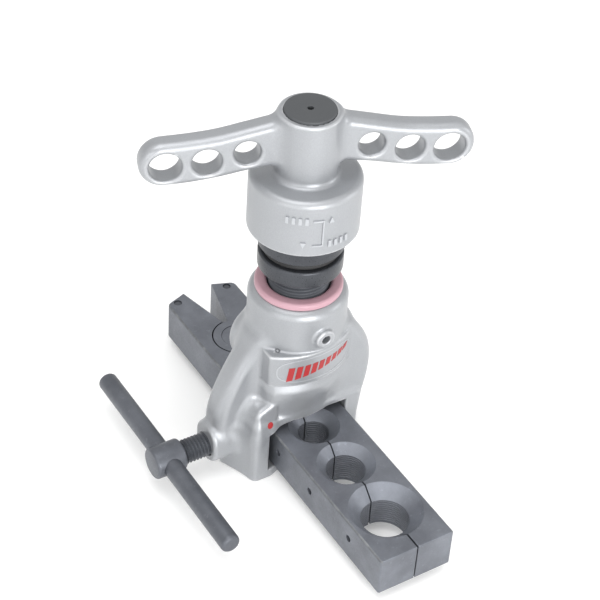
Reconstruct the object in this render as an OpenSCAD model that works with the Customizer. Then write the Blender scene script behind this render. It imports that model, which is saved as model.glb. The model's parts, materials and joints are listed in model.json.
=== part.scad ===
// Flaring tool: a T-handled eccentric cone on a feed screw, over a split die bar
// that a side screw clamps in a cast yoke.
// Origin: on the feed axis, at the lower mouth of the die that stands under the cone.
// +Z runs up the feed axis, the die bar lies along Y with its long end towards -Y,
// and the clamp is on -X.

/* [Die bar] */
// Width of the closed bar
bar_w = 33; // [30:0.5:36]
// Thickness of the bar
bar_t = 17.5; // [16:0.5:19]
// Distance from the feed axis to the bar's front end
bar_front = 92; // [90:1:100]
// Distance from the feed axis to the ends of the tails
bar_back = 78; // [76:1:84]
// Gap along the split line
split_gap = 0.6; // [0.4:0.1:0.8]
// Distance from the feed axis to the halves' pivot
pivot_y = 43; // [42:0.5:46]
// Opening of the two side dimples that centre the clamp on each die
dimple_r = 1.7; // [1:0.1:2.4]

/* [Yoke] */
// Thickness of the two feet that hook under the bar
foot_t = 4.8; // [4:0.2:8]
// Width of the slot between the feet, for the tube below the die
foot_gap = 21; // [20:0.5:24]
// Half width of the yoke's legs
leg_x = 24.8; // [24:0.2:28]
// Half depth of the yoke's legs, along the bar
leg_y = 14.5; // [14:0.5:16]
// Height of the window above the bar's upper face
window_over = 4; // [3:0.5:6]
// Play beside the bar on the clamp's side
window_play = 2.8; // [2.5:0.1:4]
// Radius of the round neck
neck_r = 19.6; // [19:0.1:21]
// Height of the neck's upper face
neck_top = 78.2; // [77:0.1:80]

/* [Feed] */
// Outer radius of the feed screw's thread
feed_r = 12; // [11.5:0.1:12.5]
// Pitch of the feed screw
feed_pitch = 1.5; // [1:0.25:2]
// Offset of the cone's pin from the feed axis
eccentric = 1; // [0.6:0.1:1.2]
// Radius of the flaring cone
cone_r = 11; // [10:0.25:11.25]
// Clearance between the cone's tip and the bar at rest
cone_rise = 2.2; // [1:0.1:3]

/* [Handle] */
// Distance from the feed axis to the middle of each arm's end
arm_reach = 53; // [48:1:60]
// Thickness of the flat arms
arm_t = 9; // [8:0.5:11]
// Turn of the arms from the X axis, in degrees
handle_turn = -20; // [-90:5:90]
// Radius of the handle's hub
hub_r = 11.8; // [11:0.1:13]
// Outer radius of the barrel
barrel_r = 21.3; // [20.5:0.1:23]

/* [Clamp] */
// Radius of the clamp screw's thread
clamp_r = 5; // [4.5:0.25:5.5]
// Pitch of the clamp screw
clamp_pitch = 1.5; // [1:0.25:2]
// Radius of the sliding tommy bar
tommy_r = 4; // [3:0.25:4.5]
// Length of the sliding tommy bar
tommy_len = 104; // [80:2:120]
// Radius of the round drum that carries the tommy bar
drum_r = 6.5; // [6:0.25:8]

/* [Hidden] */
$fn = 96;
cut = 1;                // how far a cutting solid runs past the face it cuts
fit = 0.05;             // radial clearance of a running fit
snug = 0.02;            // radial clearance of a pressed piece

// die bar: bore radius, countersunk radius and place along Y of each die
bar_half = bar_w / 2;
bar_top = bar_t;
bar_mid = bar_t / 2;
bevel = 0.9;
dies = [
    [3.175, 6.1, 17],
    [4.765, 7.5, 0],
    [6.35, 10.4, -18.2],
    [7.94, 11.7, -42.1],
    [9.525, 14.6, -70.2],
];
knuckle_r = 10.3;
knuckle_gap = 0.35;
lap_z = bar_t / 2;
lap_gap = 0.1;
pin_r = 4;
pin_head_r = 6.8;
pin_head_t = 2.4;
notch_y = 50;
notch_x = 6.8;
tail_end = bar_back + 0.1;
tail_drop = 3;
tail_tilt = atan((tail_end - bar_back + tail_drop) / (bar_half - notch_x));
tail_round = 3;
round_y = tail_end - (bar_half - tail_round - notch_x) * tan(tail_tilt)
    - tail_round / cos(tail_tilt);
tail_pin_x = 12;
tail_pin_y = 73.5;
tail_pin_r = 1.7;
dowel_r = 1.5;
dowel_len = 13;
dowel_y = -(bar_front - 3.2);
dowel_play = 0.6;

// yoke
window_x0 = -(bar_half + window_play);
window_x1 = bar_half + 0.3;
window_top = bar_top + window_over;
shoulder_x = 29;
shoulder_z = 45.2;
shoulder_y = 18;
waist_x = 24;
leg_top = 29;
neck_low = 64;
neck_round = 4;
cavity_r = 12.6;
bush_low = 49.2;
bush_r = 15.5;
boss_r = 7.7;
boss_rise = 2.8;
boss_face = -39.5;
rib_y = 5.5;
clamp_z = bar_mid + 1;
plate_low = 44;
plate_high = 59;
plate_r = 30.7;
plate_y = 10.5;
plate_half_angle = 41;
plate_in = 12;
lock_z = 65.5;
lock_boss_r = 4;
lock_r = 1.75;

// feed
tip_z = bar_top + cone_rise;
cone_base = tip_z + cone_r;
cone_top = cone_base + 4;
spindle_r = 8;
flange_low = cone_top + 0.5;
flange_top = 43.2;
screw_low = 45.2;
stop_low = 88.7;
stop_top = 95.9;
stop_r = 16.5;
groove_r = 15.2;
ring_low = 99;
ring_r = 16.8;
needle_r = 0.75;
needles = 15;
cone_pin_r = 3.5;
cone_pin_low = cone_base - 3.2;
cone_bore = cone_pin_r + 2 * needle_r + 2 * fit;

// clutch and handle
barrel_low = 107.8;
barrel_top = 131.6;
barrel_in = 18.6;
lip_in = ring_r + 0.3;
clutch_floor = 111.8;
ball_r = 2.5;
ball_pitch = 11.6;
balls = 6;
ball_z = clutch_floor + 0.9;
plate_floor = ball_z + 0.9;
plate_t = 3.2;
plate_out = 17.2;
spring_low = plate_floor + plate_t + 0.05;
spring_high = 124.6;
discs = 4;
nut_h = 5;
spindle_end_r = 6;
spindle_top = spring_high + nut_h + 1.5;
hub_top = 158.1;
cap_r = 9.7;
cap_top = 158.8;
web_low = 126.7;
arm_z = 140.4;
arm_end_r = 9;
grip_holes = [[23, 4.8, 3.2], [37.5, 5.3, 0.4], [52.5, 5.7, -0.5]];
arm_under = [
    [0, arm_z - 4.2], [hub_r, arm_z - 3.2], [22, arm_z - 4.8], [34, arm_z - 7.3],
    [arm_reach, arm_z - arm_end_r],
];
arm_over = [
    [arm_reach, arm_z + arm_end_r], [36, arm_z + 10.3], [26, arm_z + 12.1], [18, arm_z + 14.4],
    [hub_r, arm_z + 16.8], [0, arm_z + 17.2],
];

// clamp
drum_len = 13;
drum_face = -50.5;
tip_rest = -(bar_half + 3.1);
tip_len = 4.4;
tip_nose = 1.2;

// A tube or disc about the Z axis
module ring(r_in, r_out, low, high) {
    rotate_extrude()
        translate([r_in, low])
            square([r_out - r_in, high - low]);
}

// A cylinder along X from x0 to x1
module rod_x(r, x0, x1) {
    translate([x0, 0, 0])
        rotate([0, 90, 0])
            cylinder(h = x1 - x0, r = r);
}

// A cylinder along Y from y0 to y1
module rod_y(r, y0, y1) {
    translate([0, y1, 0])
        rotate([90, 0, 0])
            cylinder(h = y1 - y0, r = r);
}

// A screw's sleeve or rod with V grooves, from z = 0 up
module grooved(r_in, r_out, len, pitch) {
    depth = pitch * 0.55;
    turns = floor(len / pitch);
    rotate_extrude()
        difference() {
            translate([r_in, 0])
                square([r_out - r_in, len]);
            for (i = [0 : turns - 1])
                translate([r_out, (i + 0.5) * pitch])
                    polygon([[0.01, -pitch * 0.42], [0.01, pitch * 0.42], [-depth, 0]]);
        }
}

// ---- yoke ----

// Front outline of the casting, in X and Z: a full shoulder on +X, a waist above the clamp on -X
module yoke_front() {
    polygon([
        [-leg_x, -foot_t], [leg_x, -foot_t], [leg_x, leg_top / 2], [shoulder_x - 0.5, leg_top],
        [shoulder_x, shoulder_z], [shoulder_x - 3, shoulder_z + 10], [neck_r, neck_low],
        [-neck_r, neck_low], [-waist_x, shoulder_z + 10], [-waist_x, shoulder_z], [-leg_x, leg_top],
    ]);
}

// Outline of the rib between the neck, the clamp's boss and the foot, in X and Z
module clamp_rib() {
    polygon([
        [2 - leg_x, -foot_t], [-31, -foot_t], [-36, 4], [-37.5, 16], [-37, leg_top],
        [-30.5, shoulder_z], [-25, shoulder_z + 10], [1 - neck_r, neck_low - 1],
    ]);
}

// Side outline of the casting, in Y and Z, from its front half
module yoke_side() {
    half = [
        [leg_y, -foot_t], [leg_y, leg_top], [shoulder_y, shoulder_z], [shoulder_y, plate_high - 2],
        [neck_r * 2 / 3, neck_low],
    ];
    polygon(concat(half, [for (i = [len(half) - 1 : -1 : 0]) [-half[i][0], half[i][1]]]));
}

module yoke_casting() {
    intersection() {
        translate([0, shoulder_y + cut, 0])
            rotate([90, 0, 0])
                linear_extrude(2 * (shoulder_y + cut))
                    yoke_front();
        rotate([90, 0, 90])
            translate([0, 0, -shoulder_x - cut])
                linear_extrude(2 * (shoulder_x + cut))
                    yoke_side();
    }
    // neck with a rounded upper edge
    rotate_extrude() {
        translate([0, shoulder_z])
            square([neck_r, neck_top - neck_round - shoulder_z]);
        translate([0, neck_top - neck_round - cut])
            square([neck_r - neck_round / 2, neck_round + cut]);
        translate([neck_r - neck_round, neck_top - neck_round])
            circle(r = neck_round);
    }
    // upright oval boss for the clamp screw, and the rib that carries it
    for (rise = [0, boss_rise])
        translate([0, 0, clamp_z + rise])
            rod_x(boss_r, boss_face, window_x0);
    translate([0, rib_y, 0])
        rotate([90, 0, 0])
            linear_extrude(2 * rib_y)
                clamp_rib();
    // raised curved panels across the front and the back
    for (turn = [0, 180])
        rotate([0, 0, turn])
            translate([0, plate_y, plate_low])
                rotate([0, 0, -90 - plate_half_angle])
                    rotate_extrude(angle = 2 * plate_half_angle)
                        translate([plate_in, 0])
                            square([plate_r - plate_in, plate_high - plate_low]);
    // boss for the lock screw
    translate([0, 0, lock_z])
        rod_y(lock_boss_r, -neck_r - 2.2, -bush_r);
}

module yoke() {
    color("silver")
        difference() {
            yoke_casting();
            translate([window_x0, -shoulder_y - 8, 0])
                cube([window_x1 - window_x0, 2 * (shoulder_y + 8), window_top]);
            translate([-foot_gap / 2, -leg_y - cut, -foot_t - cut])
                cube([foot_gap, 2 * (leg_y + cut), foot_t + 2 * cut]);
            translate([0, 0, window_top - cut])
                cylinder(h = bush_low - window_top + cut, r = cavity_r);
            translate([0, 0, bush_low])
                cylinder(h = neck_top - bush_low + cut, r = bush_r + snug);
            translate([0, 0, clamp_z])
                rod_x(clamp_r + fit, boss_face - cut, window_x0 + cut);
            translate([0, 0, lock_z])
                rod_y(lock_r + snug, -neck_r - 4, -bush_r + cut);
        }
}

module neck_collar() {
    width = neck_r - 2.4 - feed_r - 0.4;
    mid = feed_r + 0.4 + width / 2;
    color("pink")
        rotate_extrude() {
            translate([mid - width / 2, neck_top + 0.02])
                square([width, 0.3]);
            intersection() {
                translate([mid, neck_top + 0.3])
                    circle(r = width / 2);
                translate([mid - width / 2, neck_top + 0.3])
                    square([width, width / 2]);
            }
        }
}

module threaded_bush() {
    color("dimgray")
        difference() {
            ring(feed_r + 0.1, bush_r, bush_low, neck_top);
            translate([0, 0, lock_z])
                rod_y(lock_r + snug, -bush_r - cut, -bush_r + 1.5);
        }
}

module bush_lock_screw() {
    color("dimgray")
        translate([0, 0, lock_z])
            difference() {
                rod_y(lock_r, -neck_r, -bush_r + 1.45);
                rod_y(0.9, -neck_r - cut, -neck_r + 1.6);
            }
}

// ---- feed screw and cone ----

module thrust_washer() {
    color("silver")
        ring(spindle_r + fit, feed_r - 0.6, flange_top + 0.05, screw_low - 0.05);
}

module feed_screw() {
    color("dimgray") {
        translate([0, 0, screw_low])
            grooved(spindle_r + fit, feed_r, stop_low - screw_low + 0.01, feed_pitch);
        rotate_extrude()
            polygon([
                [spindle_r + fit, stop_low], [stop_r - 0.5, stop_low], [stop_r, stop_low + 0.5],
                [stop_r, stop_top - 0.8], [stop_r - 0.8, stop_top], [spindle_r + fit, stop_top],
            ]);
    }
}

module upper_thrust_washer() {
    color("silver")
        ring(spindle_r + snug, 11.5, stop_top + 0.05, ring_low - 0.02);
}

module friction_ring() {
    gap_mid = (stop_top + ring_low) / 2;
    tube = (ring_low - stop_top) / 2 - 0.05;
    color("black")
        rotate_extrude()
            translate([groove_r - tube, gap_mid])
                circle(r = tube);
}

module spindle() {
    color("gray") {
        translate([eccentric, 0, cone_pin_low])
            difference() {
                cylinder(h = flange_low - cone_pin_low + 0.01, r = cone_pin_r);
                ring(cone_pin_r - 0.6, cone_pin_r + cut, 0.4, 1.2);
            }
        translate([0, 0, flange_low])
            cylinder(h = flange_top - flange_low, r = 10.8);
        translate([0, 0, flange_top])
            cylinder(h = clutch_floor + 1 - flange_top, r = spindle_r);
        translate([0, 0, clutch_floor])
            cylinder(h = spindle_top - clutch_floor, r = spindle_end_r);
    }
}

module cone_snap_ring() {
    color("silver")
        translate([eccentric, 0, cone_pin_low])
            ring(cone_pin_r - 0.58, cone_pin_r + 1.1, 0.45, 1.15);
}

module flaring_cone() {
    color("silver")
        translate([eccentric, 0, 0])
            rotate_extrude()
                polygon([
                    [0, tip_z + 0.6], [0.6, tip_z + 0.6], [cone_r, cone_base], [cone_r, cone_top],
                    [cone_bore, cone_top], [cone_bore, cone_pin_low - 0.3],
                    [0, cone_pin_low - 0.3],
                ]);
}

module cone_needles() {
    color("silver")
        translate([eccentric, 0, cone_pin_low + 1.4])
            for (i = [0 : needles - 1])
                rotate([0, 0, i * 360 / needles])
                    translate([cone_pin_r + needle_r + fit, 0, 0])
                        cylinder(h = 5.6, r = needle_r, $fn = 32);
}

// ---- clutch ----

module ball_ring(r, z) {
    for (i = [0 : balls - 1])
        rotate([0, 0, i * 360 / balls])
            translate([ball_pitch, 0, z])
                sphere(r = r);
}

module clutch_ring() {
    color("dimgray")
        difference() {
            rotate_extrude()
                polygon([
                    [spindle_r + snug, ring_low], [ring_r - 0.8, ring_low], [ring_r, ring_low + 0.8],
                    [ring_r, clutch_floor - 0.5], [ring_r - 0.5, clutch_floor],
                    [spindle_r + snug, clutch_floor],
                ]);
            ball_ring(ball_r + fit, ball_z);
        }
}

module clutch_balls() {
    color("silver")
        ball_ring(ball_r, ball_z);
}

module pressure_plate() {
    color("gray")
        difference() {
            ring(spindle_r + 0.4, plate_out, plate_floor, plate_floor + plate_t);
            ball_ring(ball_r + 0.15, ball_z);
            key_ring(snug);
        }
}

// Three flat keys between the pressure plate and the barrel
module key_ring(play) {
    for (i = [0 : 2])
        rotate([0, 0, 30 + i * 120])
            translate([plate_out - 2.5 - play, -1.5 - play, plate_floor + 0.6 - play])
                cube([barrel_in + 1 - plate_out + 2.5 + 2 * play, 3 + 2 * play, 2 + 2 * play]);
}

module drive_keys() {
    color("silver")
        key_ring(0);
}

// Dished spring discs, stacked in opposite pairs
module clutch_springs() {
    pitch = (spring_high - spring_low) / discs;
    rise = pitch - 1.1;
    color("silver")
        for (i = [0 : discs - 1]) {
            low_in = i % 2 == 0 ? rise : 0;
            low_out = rise - low_in;
            translate([0, 0, spring_low + i * pitch])
                rotate_extrude()
                    polygon([
                        [8.6, low_in], [16.4, low_out], [16.4, low_out + 1], [8.6, low_in + 1],
                    ]);
        }
}

module clutch_nut() {
    color("gray")
        translate([0, 0, spring_high + 0.05])
            difference() {
                cylinder(h = nut_h, r = 9.8, $fn = 6);
                translate([0, 0, -cut])
                    cylinder(h = nut_h + 2 * cut, r = spindle_end_r + snug);
            }
}

// ---- handle ----

// Outline of one arm, in reach and height, with its grip holes, each a reach, a radius and a rise
module arm_outline() {
    difference() {
        union() {
            polygon(concat(arm_under, arm_over));
            translate([arm_reach, arm_z])
                circle(r = arm_end_r);
        }
        for (hole = grip_holes)
            translate([hole[0], arm_z + hole[2]])
                circle(r = hole[1]);
    }
}

module handle() {
    color("silver")
        difference() {
            union() {
                for (side = [0, 1])
                    rotate([0, 0, handle_turn + side * 180])
                        translate([0, arm_t / 2, 0])
                            rotate([90, 0, 0])
                                linear_extrude(arm_t)
                                    arm_outline();
                // barrel, web and hub
                rotate_extrude()
                    polygon([
                        [0, barrel_low], [barrel_r, barrel_low], [barrel_r, barrel_top - 2.5],
                        [barrel_r - 1.2, barrel_top - 0.7], [barrel_r - 3, barrel_top],
                        [hub_r + 1.4, barrel_top + 0.4], [hub_r, barrel_top + 1.8],
                        [hub_r, hub_top - 1.2], [hub_r - 0.8, hub_top], [0, hub_top],
                    ]);
            }
            translate([0, 0, barrel_low - cut])
                cylinder(h = 2.2 + cut, r = lip_in);
            translate([0, 0, barrel_low + 2.1])
                cylinder(h = web_low - barrel_low - 2.1, r = barrel_in);
            translate([0, 0, web_low - cut])
                cylinder(h = barrel_top + 1 - web_low + cut, r = 10.2);
            translate([0, 0, hub_top - 1.8])
                cylinder(h = 3, r = cap_r + snug);
            translate([0, 0, barrel_top])
                cylinder(h = hub_top - barrel_top, r = 8.2);
            key_ring(snug);
        }
}

module handle_cap() {
    color("dimgray")
        rotate_extrude()
            polygon([
                [1, hub_top - 1.75], [cap_r, hub_top - 1.75], [cap_r, hub_top + 0.2],
                [cap_r - 0.5, cap_top], [1, cap_top],
            ]);
}

// ---- die bar ----

// Cross-section of the right half, in X and Z, with bevelled outer edges
module half_section() {
    polygon([
        [split_gap / 2, 0], [bar_half - bevel, 0], [bar_half, bevel],
        [bar_half, bar_top - bevel], [bar_half - bevel, bar_top], [split_gap / 2, bar_top],
    ]);
}

// Wedge removed between the tails so that the halves can open, their slanted ends and round corners
module tail_cuts() {
    translate([0, 0, -cut])
        linear_extrude(bar_t + 2 * cut) {
            polygon([
                [-cut, notch_y], [split_gap / 2, notch_y], [notch_x, tail_end],
                [notch_x, bar_back + cut], [-cut, bar_back + cut],
            ]);
            polygon([
                [notch_x, tail_end], [bar_half + cut, bar_back - tail_drop],
                [bar_half + cut, bar_back + cut], [notch_x, bar_back + cut],
            ]);
            difference() {
                translate([bar_half - tail_round * (1 - sin(tail_tilt)), round_y])
                    square([tail_round, tail_end - round_y]);
                translate([bar_half - tail_round, round_y])
                    circle(r = tail_round);
            }
        }
}

// One die: the bore, its flaring countersink and the clamp's side dimples
module die_cut(die) {
    sink = die[1] - die[0];
    translate([0, die[2], 0]) {
        translate([0, 0, -cut])
            cylinder(h = bar_t + 2 * cut, r = die[0]);
        translate([0, 0, bar_top - sink])
            cylinder(h = sink + 0.01, r1 = die[0], r2 = die[1] + 0.01);
        translate([bar_half - dimple_r + 0.01, 0, clamp_z])
            rotate([0, 90, 0])
                cylinder(h = dimple_r, r1 = 0, r2 = dimple_r);
    }
}

// The half on +X. The pivot knuckle is on its upper or lower lap.
module bar_half_solid(upper) {
    keep_low = upper ? lap_z + lap_gap / 2 : 0;
    keep_high = upper ? bar_top : lap_z - lap_gap / 2;
    clear_low = upper ? -cut : lap_z - lap_gap / 2;
    clear_high = upper ? lap_z + lap_gap / 2 : bar_top + cut;
    difference() {
        union() {
            difference() {
                translate([0, bar_back, 0])
                    rotate([90, 0, 0])
                        linear_extrude(bar_back + bar_front)
                            half_section();
                tail_cuts();
                translate([0, pivot_y, clear_low])
                    cylinder(h = clear_high - clear_low, r = knuckle_r + knuckle_gap);
            }
            translate([0, pivot_y, keep_low])
                cylinder(h = keep_high - keep_low, r = knuckle_r);
        }
        for (die = dies)
            die_cut(die);
        translate([tail_pin_x, tail_pin_y, -cut])
            cylinder(h = bar_t + 2 * cut, r = tail_pin_r + snug);
    }
}

module die_bar_right() {
    color("dimgray")
        difference() {
            bar_half_solid(true);
            translate([0, pivot_y, lap_z - cut])
                cylinder(h = bar_t, r = pin_r + snug);
            translate([0, pivot_y, bar_top - pin_head_t])
                cylinder(h = pin_head_t + cut, r = pin_head_r + snug);
            translate([0, dowel_y, bar_mid])
                rod_x(dowel_r + snug, -cut, dowel_len / 2 + 0.05);
        }
}

module die_bar_left() {
    color("dimgray")
        difference() {
            mirror([1, 0, 0])
                bar_half_solid(false);
            translate([0, pivot_y, -cut])
                cylinder(h = bar_t, r = pin_r + fit);
            translate([0, dowel_y, bar_mid])
                rod_x(dowel_r + dowel_play, -dowel_len / 2 - 0.5, cut);
        }
}

module hinge_pin() {
    color("gray")
        translate([0, pivot_y, 0]) {
            cylinder(h = bar_t, r = pin_r);
            translate([0, 0, bar_top - pin_head_t + 0.02])
                cylinder(h = pin_head_t - 0.3, r = pin_head_r);
        }
}

module tail_pin(side) {
    color("black")
        translate([side * tail_pin_x, tail_pin_y, 0])
            cylinder(h = bar_t - 0.4, r = tail_pin_r);
}

module tail_pin_right() {
    tail_pin(1);
}

module tail_pin_left() {
    tail_pin(-1);
}

module die_dowel() {
    color("silver")
        translate([0, dowel_y, bar_mid])
            rod_x(dowel_r, -dowel_len / 2, dowel_len / 2);
}

// ---- clamp ----

module clamp_screw() {
    thread_end = tip_rest - tip_len - 0.1;
    color("dimgray")
        translate([0, 0, clamp_z])
            difference() {
                union() {
                    translate([drum_face - 0.01, 0, 0])
                        rotate([0, 90, 0])
                            grooved(0, clamp_r, thread_end - drum_face + 0.01, clamp_pitch);
                    translate([drum_face - drum_len, 0, 0])
                        rotate([0, 90, 0])
                            rotate_extrude()
                                polygon([
                                    [0, 0], [drum_r - 1, 0], [drum_r, 1], [drum_r, drum_len - 1],
                                    [drum_r - 1, drum_len], [0, drum_len],
                                ]);
                }
                translate([drum_face - drum_len / 2, 0, 0])
                    rod_y(tommy_r + fit, -drum_r - cut, drum_r + cut);
            }
}

module clamp_tip() {
    color("gray")
        translate([tip_rest - tip_len, 0, clamp_z])
            rotate([0, 90, 0])
                rotate_extrude()
                    polygon([
                        [0, 0], [clamp_r - 0.9, 0], [clamp_r - 0.9, tip_len - 2.2],
                        [tip_nose, tip_len], [0, tip_len],
                    ]);
}

module tommy_bar() {
    end_round = 1.6;
    color("dimgray")
        translate([drum_face - drum_len / 2, tommy_len / 2, clamp_z])
            rotate([90, 0, 0])
                rotate_extrude()
                    polygon([
                        [0, 0], [tommy_r - end_round, 0], [tommy_r - 0.5, 0.5],
                        [tommy_r, end_round], [tommy_r, tommy_len - end_round],
                        [tommy_r - 0.5, tommy_len - 0.5], [tommy_r - end_round, tommy_len],
                        [0, tommy_len],
                    ]);
}

yoke();
neck_collar();
threaded_bush();
bush_lock_screw();
thrust_washer();
feed_screw();
upper_thrust_washer();
friction_ring();
spindle();
cone_snap_ring();
clutch_ring();
clutch_balls();
clutch_springs();
clutch_nut();
flaring_cone();
cone_needles();
handle();
handle_cap();
pressure_plate();
drive_keys();
die_bar_right();
die_bar_left();
hinge_pin();
tail_pin_right();
tail_pin_left();
die_dowel();
clamp_screw();
clamp_tip();
tommy_bar();
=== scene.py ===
"""A flaring tool on a pale floor: a T-handled feed screw over a hinged die bar in a cast yoke.

The casting and the handle are signed distance fields, which give their natural fillets, and are
meshed here by surface nets. Turned pieces are lathed from profiles with rounded corners, threads
are true helices, and the die bars are stacked outlines. Lengths are in millimetres in the frame
of the part until a mesh is made, when they become metres.
"""
import json
import math

import bmesh
import bpy
import numpy as np
from mathutils import Matrix, Vector


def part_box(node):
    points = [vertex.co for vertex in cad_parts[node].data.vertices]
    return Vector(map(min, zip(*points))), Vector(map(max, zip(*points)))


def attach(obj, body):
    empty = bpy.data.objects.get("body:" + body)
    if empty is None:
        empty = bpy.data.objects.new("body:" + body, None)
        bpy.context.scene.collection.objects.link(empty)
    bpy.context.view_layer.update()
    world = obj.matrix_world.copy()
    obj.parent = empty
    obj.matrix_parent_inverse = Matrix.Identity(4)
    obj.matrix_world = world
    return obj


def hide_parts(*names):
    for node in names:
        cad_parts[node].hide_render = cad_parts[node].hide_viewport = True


MM = 0.001
WELD = 0.004  # points closer than this are one point
CREST = 0.12  # share of a thread's flank that is flat, at the crest and at the root

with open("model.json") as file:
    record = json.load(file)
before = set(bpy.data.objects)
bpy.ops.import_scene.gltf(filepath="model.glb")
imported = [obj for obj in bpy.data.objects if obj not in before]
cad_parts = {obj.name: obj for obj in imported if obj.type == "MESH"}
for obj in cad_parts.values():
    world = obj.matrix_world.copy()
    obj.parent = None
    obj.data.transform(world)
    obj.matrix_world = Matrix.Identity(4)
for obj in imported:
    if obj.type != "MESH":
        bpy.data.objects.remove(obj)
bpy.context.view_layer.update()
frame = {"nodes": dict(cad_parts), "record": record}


# ---- sizes taken from the frame ----

def node_box(node):
    """Lowest and highest corners of a CAD node, in millimetres."""
    low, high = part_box(node)
    return np.array(low) / MM, np.array(high) / MM


YOKE_LOW, YOKE_HIGH = node_box("yoke")
BAR_LOW, BAR_HIGH = node_box("die_bar_right")
COLLAR_LOW, COLLAR_HIGH = node_box("neck_collar")
SCREW_LOW, SCREW_HIGH = node_box("feed_screw")
HANDLE_LOW, HANDLE_HIGH = node_box("handle")
CAP_LOW, CAP_HIGH = node_box("handle_cap")
BUSH_LOW, BUSH_HIGH = node_box("threaded_bush")
CLAMP_LOW, CLAMP_HIGH = node_box("clamp_screw")
TOMMY_LOW, TOMMY_HIGH = node_box("tommy_bar")
PIN_LOW, PIN_HIGH = node_box("hinge_pin")
LOCK_LOW, LOCK_HIGH = node_box("bush_lock_screw")

FLOOR_Z = YOKE_LOW[2]
CLAMP_Z = (TOMMY_LOW[2] + TOMMY_HIGH[2]) / 2
HUB_TOP = HANDLE_HIGH[2]
BARREL_LOW = HANDLE_LOW[2]
PIVOT_Y = (PIN_LOW[1] + PIN_HIGH[1]) / 2


# ---- distance fields ----

def smooth_min(a, b, k):
    """Union of two fields with a fillet about k wide."""
    h = np.clip(0.5 + 0.5 * (b - a) / k, 0, 1)
    return b * (1 - h) + a * h - k * h * (1 - h)


def smooth_max(a, b, k):
    """Intersection of two fields with an edge about k wide."""
    return -smooth_min(-a, -b, k)


def smooth_curve(v, xs, ys):
    """A curve through points with matched slopes, as a flexible ruler would lie."""
    xs, ys = np.array(xs, float), np.array(ys, float)
    slope = np.gradient(ys, xs)
    i = np.clip(np.searchsorted(xs, v) - 1, 0, len(xs) - 2)
    w = xs[i + 1] - xs[i]
    t = np.clip((v - xs[i]) / w, 0, 1)
    a = (1 + 2 * t) * (1 - t) ** 2
    b = t * (1 - t) ** 2
    return a * ys[i] + b * w * slope[i] + (1 - a) * ys[i + 1] + t * t * (t - 1) * w * slope[i + 1]


def slab(v, low, high):
    """Distance outside the layer from low to high."""
    return np.maximum(low - v, v - high)


def both(a, b, r):
    """Intersection of two fields whose common edge is rounded to radius r."""
    outside = np.hypot(np.maximum(a + r, 0), np.maximum(b + r, 0))
    return np.minimum(np.maximum(a + r, b + r), 0) + outside - r


def ramp(v, start, end):
    """0 before start, 1 after end, and a smooth rise between them."""
    t = np.clip((v - start) / (end - start), 0, 1)
    return t * t * (3 - 2 * t)


def surface_nets(field, low, high, step):
    """Vertices and quads of the zero surface of a field on a grid.

    Each grid cell that the surface crosses gets one vertex, the mean of the crossings on its
    edges, and each crossed grid edge gets one quad between its four cells.
    """
    axes = [np.arange(a, b + step, step) for a, b in zip(low, high)]
    grid = np.meshgrid(*axes, indexing="ij")
    values = field(*grid)
    inside = values < 0
    cells = tuple(n - 1 for n in values.shape)
    total = np.zeros(cells + (3,))
    count = np.zeros(cells)
    for axis in range(3):
        here = [slice(None)] * 3
        there = [slice(None)] * 3
        here[axis] = slice(0, -1)
        there[axis] = slice(1, None)
        a, b = values[tuple(here)], values[tuple(there)]
        crossed = (a < 0) != (b < 0)
        t = np.where(crossed, a / np.where(crossed, a - b, 1), 0)
        others = [k for k in range(3) if k != axis]
        for i in (0, 1):
            for j in (0, 1):
                part = [slice(None)] * 3
                part[others[0]] = slice(i, i + cells[others[0]])
                part[others[1]] = slice(j, j + cells[others[1]])
                part = tuple(part)
                hit = crossed[part]
                count += hit
                total[..., axis] += hit * t[part]
                total[..., others[0]] += hit * i
                total[..., others[1]] += hit * j
    live = count > 0
    index = np.full(cells, -1)
    index[live] = np.arange(live.sum())
    corner = np.argwhere(live)
    verts = (corner + total[live] / count[live][:, None]) * step + np.array([a[0] for a in axes])
    quads = []
    for axis in range(3):
        u, v = (axis + 1) % 3, (axis + 2) % 3
        here = [slice(1, -1)] * 3
        here[axis] = slice(0, -1)
        there = list(here)
        there[axis] = slice(1, None)
        a, b = inside[tuple(here)], inside[tuple(there)]
        at = np.argwhere(a != b)
        at[:, u] += 1
        at[:, v] += 1
        forward = a[a != b]
        ring = []
        for du, dv in ((-1, -1), (0, -1), (0, 0), (-1, 0)):
            cell = at.copy()
            cell[:, u] += du
            cell[:, v] += dv
            ring.append(index[tuple(cell.T)])
        ring = np.stack(ring, 1)
        ring[~forward] = ring[~forward][:, ::-1]
        quads.append(ring)
    return verts, np.concatenate(quads)


def gradient(field, p, h=0.03):
    """Slope of a field at points."""
    parts = []
    for axis in range(3):
        d = np.zeros(3)
        d[axis] = h
        parts.append((field(*(p + d).T) - field(*(p - d).T)) / (2 * h))
    return np.stack(parts, 1)


def field_mesh(name, field, low, high, step, rounds=5, least_slope=0.05):
    """A closed smooth mesh of a field, its points moved onto the true surface in a few rounds."""
    verts, quads = surface_nets(field, low, high, step)
    for _ in range(rounds):
        slope = gradient(field, verts)
        size = np.maximum((slope ** 2).sum(1), least_slope)
        move = (field(*verts.T) / size)[:, None] * slope
        verts -= np.clip(move, -step / 2, step / 2)
    slope = gradient(field, verts)
    return make_mesh(name, verts, quads.tolist(), normals=slope)


# ---- mesh helpers ----

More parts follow.
